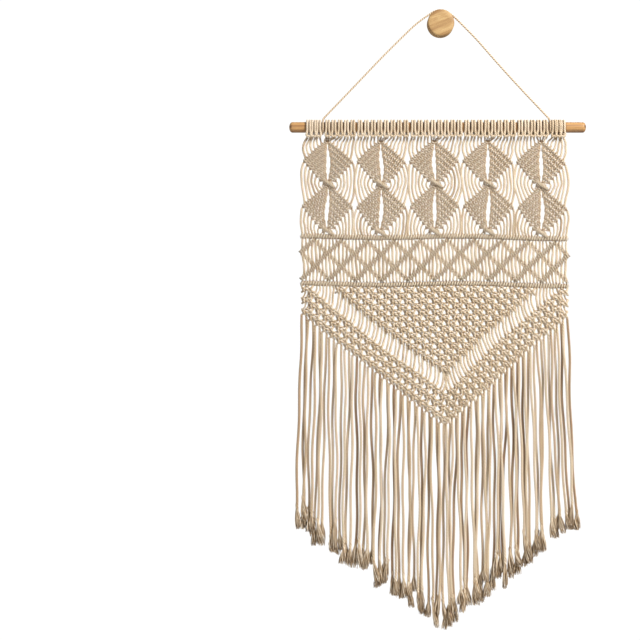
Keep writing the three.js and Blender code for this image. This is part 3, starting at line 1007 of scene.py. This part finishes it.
class FringeCord:
    """One free end of the knotting: its line, and the frayed tuft at its foot."""

    def __init__(self, number, places):
        row, column, order = knots_on_cord(places, number)[-1]
        self.start = settle([knot_edge(row, column, order, -1) + 0.6 * UP])[0]
        bundle = f"fringe_{number // 4 + 1}"
        low, centre = box(bundle)[0], middle(bundle)[0]
        self.tuft = rng.uniform(19, 40)
        foot_z = low[2] + 2 + HEM_DEPTH * rng.uniform(0, 1) ** 1.4 + self.tuft * 0.75
        outward = (self.start[0] - PANEL[0]) / (PANEL_WIDTH / 2)
        spread = SPREAD_RIGHT * max(outward, 0) ** 3 + SPREAD_LEFT * max(-outward, 0) ** 3
        layer = LAYER_GAP if number % 2 else -LAYER_GAP
        x_foot = self.start[0] + 0.25 * (centre - self.start[0]) + spread + wander(3.1)
        self.line = self.hang(x_foot, foot_z, layer)
        self.radius = FRINGE_RADIUS * rng.uniform(0.93, 1.05)
        # painted shade: the cords in the rear layer get a darker tone than those in front, and negative
        # tones add to the crevice shade
        self.tone_and_shade = float(np.clip(rng.normal(0.55 if layer < 0 else 0.15, 0.3), -0.3, 1.0))

    def hang(self, x_foot, foot_z, layer):
        phase, swing = rng.uniform(0, TURN, 2), rng.uniform(0.7, 2.3, 2)
        drop = self.start[2] - foot_z
        points = [self.start, self.start - 2.5 * UP]
        for share in np.linspace(0.06, 1, 13):
            fade = min(1.0, share / 0.2)
            x = self.start[0] + (x_foot - self.start[0]) * share
            x += fade * swing[0] * math.sin(phase[0] + 5.2 * share)
            x += fade * 0.8 * math.sin(phase[1] + 15 * share)
            y = PANEL_Y + fade * (layer + 0.5 * swing[1] * math.sin(phase[1] + 6.5 * share))
            points.append(np.array([x, y, self.start[2] - drop * share]))
        return through(points, 1.9)

    def add_cord(self, yarn):
        growth = np.clip(np.linspace(0, length_of(self.line) / FLUFF_LENGTH, len(self.line)), 0, 1)
        radius = CORD_RADIUS + (self.radius - CORD_RADIUS) * growth
        yarn.tube(self.line, radius, FRINGE_LAY, around=4, valley=0.5, tone_and_shade=self.tone_and_shade, groove=0.5)

    def add_tuft(self, yarn):
        """Loose fibres that keep a little of the cord's twist and splay out."""
        foot = self.line[-1]
        lean = unit(self.line[-1] - self.line[-6]) + np.array([wander(0.2), wander(0.06), 0])
        splay = rng.uniform(3.9, 5.7)
        for _ in range(TUFT_FIBRES):
            turn = rng.uniform(0, TURN)
            share = math.sqrt(rng.uniform(0.02, 1))
            length = self.tuft * rng.uniform(0.78, 1.04)
            twist = rng.uniform(1.2, 2.4)
            stray = rng.uniform(-1, 1, 2) * 1.2
            points = []
            for t in np.linspace(0, 1, 6):
                angle = turn + twist * t
                flare = splay * math.sin(math.pi / 2 * min(1, 1.2 * t)) ** 1.2
                reach = share * max(self.radius * 0.8 * (1 - t), flare)
                offset = np.array([math.cos(angle) * reach, 0.8 * math.sin(angle) * reach, 0])
                offset[:2] += stray * t**2
                points.append(foot + lean * (length * t - 7 * (1 - t)) + offset)
            line = through(points, length / 7)
            thick = np.linspace(0.7, 0.34, len(line)) * rng.uniform(0.75, 1.25)
            yarn.tube(line, thick, TUFT_LAY, plies=1, around=3, tone_and_shade=rng.uniform(0.0, 1.0))


def hang_pieces(cords, cords_name, tufts, tufts_name, bundle, materials):
    """Makes the cords' piece and the tufts' piece; the tufts move with their bundle."""
    piece = cords.make(cords_name, materials[0], "fringe_cord")
    tuft = tufts.make(tufts_name, materials[1], "fringe_cord")
    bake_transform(piece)
    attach(tuft, bundle)
    return piece, tuft


def make_fringe(places, *materials):
    cords = [FringeCord(number, places) for number in range(CORDS)]
    by_length = sorted(range(CORDS), key=lambda number: -length_of(cords[number].line))
    declared = set(by_length[:DECLARED_FRINGE_CORDS])
    for bundle in range(BUNDLES):
        name = f"fringe_{bundle + 1}"
        inner, inner_tufts = Yarn(), Yarn()
        for number in range(4 * bundle, 4 * bundle + 4):
            cord = cords[number]
            yarn, frayed = (Yarn(), Yarn()) if number in declared else (inner, inner_tufts)
            cord.add_cord(yarn)
            cord.add_tuft(frayed)
            if yarn is inner:
                continue
            names = (f"fringe_cord_{number + 1}", f"fringe_tuft_{number + 1}")
            piece, tuft = hang_pieces(yarn, names[0], frayed, names[1], name, materials)
        if inner.count:
            names = (f"fringe_inner_{bundle + 1}", f"fringe_inner_tufts_{bundle + 1}")
            piece, _ = hang_pieces(inner, names[0], inner_tufts, names[1], name, materials)
        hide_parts(name)


# ---- wood and metal ----
CURVE_SAMPLES = 6  # for each point of a rounded profile


def rounded(points):
    """A profile with a soft curve through its points."""
    padded = np.array([(x, 0, y) for x, y in points], float)
    line = through(padded, length_of(padded) / (CURVE_SAMPLES * len(points)))
    return [(x, y) for x, _, y in line]


def make_rod(material):
    low, high = box("dowel_rod")
    length = high[0] - low[0]
    dome = 5.0
    angles = np.linspace(0, math.pi / 2, 12)
    end = [(ROD_RADIUS * math.sin(a), dome * (1 - math.cos(a))) for a in angles]
    body = [(ROD_RADIUS, float(place)) for place in np.linspace(dome + 1, length - dome - 1, 260)]
    profile = end + body + [(radius, length - place) for radius, place in reversed(end)]
    start = np.array([low[0], ROD[1], ROD[2]])
    rod = lathe("round_rod", profile, start, RIGHT, material, sides=64)
    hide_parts("dowel_rod")
    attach(rod, "panel")
    return rod


def make_knob(material):
    """A turned spool: a rounded rear flange, a hollow groove, and a front flange with a small bevel."""
    low, high = box("wall_knob")
    radius = (high[0] - low[0]) / 2
    depth = high[1] - low[1]
    groove = radius - 4.3
    back = rounded([(radius - 2.2, 0), (radius - 0.5, 0.5), (radius, 2.8)])
    waist = rounded([
        (radius, 5.2), (radius - 0.8, 8.2), (groove + 1.2, 10.6), (groove, 13.2), (groove + 1.2, 15.9),
        (radius - 0.8, 18.6), (radius, 21.2),
    ])
    front = rounded([(radius, 22.2), (radius - 0.5, 23.4), (radius - 1.7, depth - 0.15)])
    face = [(radius - 2.1, depth), (radius * 0.66, depth), (radius * 0.33, depth), (0, depth)]
    bore = 3.4
    hole = [(0, 17.6), (bore, 17.6), (bore, 9.0), (bore, 0.6), (bore + 0.6, 0), (radius * 0.55, 0)]
    profile = hole + back + waist + front + face
    knob = lathe("turned_knob", profile, np.zeros(3), FORWARD, material)
    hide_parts("wall_knob")
    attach(knob, "wall_mount")


def make_bolt(material):
    """The hanger bolt: a plain shank in the knob, and a pointed wood thread for the wall."""
    low, high = box("knob_hanger_bolt")
    shank, tip = -low[1], high[1]
    sides, row_gap = 28, 0.3
    pitch, thread_start, thread_width, taper_length = 3.0, 3.0, 0.28, 7
    turned = np.arange(sides) / sides
    rings = []
    for y in np.arange(-shank, tip + 0.01, row_gap)[::-1]:
        phase = ((y - thread_start) / pitch - turned) % 1
        ridge = np.maximum(0.0, 1 - np.abs(phase - 0.5) / thread_width)
        taper = min(1.0, (tip - y) / taper_length)
        on_thread = np.clip((y - thread_start + 1) / 1.5, 0, 1)
        plain = min(3.0, 2.5 + (y + shank))
        radius = (1 - on_thread) * plain + on_thread * taper * (2.05 + 0.65 * ridge)
        across, up = radius * np.cos(TURN * turned), radius * np.sin(TURN * turned)
        rings.append(np.stack([across, np.full(sides, y), up], axis=1))
    bolt = skin("hanger_bolt", rings, [-tip * FORWARD, shank * FORWARD], material)
    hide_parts("knob_hanger_bolt")
    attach(bolt, "wall_mount")


# ---- painted crevice shade ----
CELL = 0.7
LOOK_OUT = 1.5  # how far from the surface to look for neighbouring cords
CREVICE_OPEN, CREVICE_TIGHT = 1.5, 9  # square millimetres of surface nearby, for none and full


def shade_crevices(pieces):
    """Marks on every point how much cord surface crowds it, the mask for painted shade: there the cotton is
    painted brown and the rod dark.
    """
    places, normals, areas = [], [], []
    for piece in pieces:
        mesh = piece.data
        flat = np.empty(3 * len(mesh.vertices), np.float32)
        mesh.vertices.foreach_get("co", flat)
        places.append(flat.reshape(-1, 3) / MM)
        mesh.vertex_normals.foreach_get("vector", flat)
        normals.append(flat.reshape(-1, 3).copy())
        faces = np.empty(len(mesh.polygons), np.float32)
        mesh.polygons.foreach_get("area", faces)
        areas.append(np.full(len(mesh.vertices), faces.sum() / MM**2 / len(mesh.vertices)))
    everywhere = np.concatenate(places)
    margin = 4 * CELL
    low = everywhere.min(axis=0) - margin
    shape = np.ceil((everywhere.max(axis=0) + margin - low) / CELL).astype(int) + 1

    def cell_of(points):
        index = ((points - low) / CELL).astype(np.int64)
        return (index[:, 0] * shape[1] + index[:, 1]) * shape[2] + index[:, 2]

    crowd = np.bincount(cell_of(everywhere), np.concatenate(areas), int(np.prod(shape)))
    crowd = crowd.astype(np.float32).reshape(shape)
    for axis in range(3):
        crowd = crowd + np.roll(crowd, 1, axis) + np.roll(crowd, -1, axis)
    crowd = crowd.ravel()
    for piece, place, normal in zip(pieces, places, normals):
        near = crowd[cell_of(place + LOOK_OUT * normal)]
        value = np.clip((near - CREVICE_OPEN) / (CREVICE_TIGHT - CREVICE_OPEN), 0, 1)
        layer = piece.data.attributes.new("crevice_shade", "FLOAT", "POINT")
        layer.data.foreach_set("value", value.astype(np.float32))


# ---- studio ----
FLOOR_Z = -1.15
FLOOR_RADIUS = 0.9


def make_floor():
    nodes = Nodes("studio_floor")
    place = nodes.place()
    cloud = nodes.noise(place, 3.0)
    colour = nodes.ramp(cloud, (0.3, (0.78, 0.77, 0.75)), (0.7, (0.84, 0.83, 0.81)))
    roughness = nodes.scaled(cloud, 0.1, 0.75)
    material = nodes.finish(colour, roughness, nodes.bump(cloud, 0.0005, 0.2))
    angle = TURN * np.arange(96) / 96
    rim = [(FLOOR_RADIUS * math.cos(a), FLOOR_RADIUS * math.sin(a), 0) for a in angle]
    mesh = bpy.data.meshes.new("floor")
    mesh.from_pydata(rim, [], [tuple(range(96))])
    mesh.materials.append(material)
    floor = add_object("floor", mesh)
    floor.location = (0, 0, FLOOR_Z)


def area_light(name, at, aim, size, power, colour):
    data = bpy.data.lights.new(name, "AREA")
    data.shape = "DISK"
    data.size = size
    data.energy = power
    data.color = colour
    light = add_object(name, data)
    light.location = at
    light.rotation_euler = (Vector(aim) - Vector(at)).to_track_quat("-Z", "Y").to_euler()


def make_studio():
    make_floor()
    world = bpy.data.worlds.new("studio")
    bpy.context.scene.world = world
    world.use_nodes = True
    tree = world.node_tree
    background = tree.nodes["Background"]
    seen = tree.nodes.new("ShaderNodeLightPath").outputs["Is Camera Ray"]
    strength = tree.nodes.new("ShaderNodeMapRange")
    strength.inputs["To Min"].default_value = 0.38
    strength.inputs["To Max"].default_value = 1.05
    tree.links.new(seen, strength.inputs["Value"])
    tree.links.new(strength.outputs[0], background.inputs["Strength"])
    background.inputs["Color"].default_value = (1, 1, 1, 1)
    area_light("key", (1.5, -1.7, 1.1), (0, 0, -0.45), 0.35, 104, (1.0, 0.97, 0.93))
    area_light("fill", (-1.3, -2.4, 0.1), (0, 0, -0.5), 1.6, 17, (0.96, 0.98, 1.0))
    area_light("back", (0.4, 2.0, 0.8), (0, 0, -0.4), 1.2, 26, (1.0, 0.98, 0.95))
    bpy.context.scene.view_settings.view_transform = "Standard"


# ---- the whole scene ----
make_camera()

knotted_cotton = cotton("knotted_cotton", (0.98, 0.90, 0.76), (0.88, 0.77, 0.60), (0.62, 0.50, 0.35), 0.85)
fringe_cotton = cotton("fringe_cotton", (0.98, 0.90, 0.76), (0.86, 0.74, 0.56), (0.58, 0.44, 0.29), 1.0)
frayed_cotton = cotton("frayed_cotton", (0.86, 0.76, 0.62), (0.52, 0.43, 0.32), (0.24, 0.18, 0.12), 0.0)
thin_cotton = cotton("thin_cotton", (0.90, 0.80, 0.64), (0.76, 0.62, 0.45), (0.50, 0.37, 0.24), 0.8)
oak = wood("oak", (0.54, 0.32, 0.13), (0.42, 0.23, 0.085), (0.23, 0.11, 0.04), (0, 0, 0), 60.0, 0.32)
beech = wood(
    "beech", (0.485, 0.322, 0.138), (0.395, 0.24, 0.092), (0.275, 0.143, 0.052), (0, 0.4, 0), 80.0, 0.42,
)

places = knot_places()
make_hanger(thin_cotton)
make_fringe(places, fringe_cotton, frayed_cotton)
make_tie("left", HANGER_ROUTE[0], thin_cotton)
make_tie("right", HANGER_ROUTE[-1], thin_cotton)

make_lark_heads(knotted_cotton)
make_leaf_pairs(knotted_cotton)
make_loose_cords(knotted_cotton)
make_ridges(knotted_cotton)
make_lattice(knotted_cotton)
make_square_knots(knotted_cotton, places)

rod = make_rod(oak)
corded = [piece for piece in bpy.data.objects if piece.type == "MESH" and "cord" in piece.data.uv_layers]
shade_crevices(corded + [rod])
make_knob(beech)
make_bolt(zinc_steel())
make_studio()

bpy.context.view_layer.update()
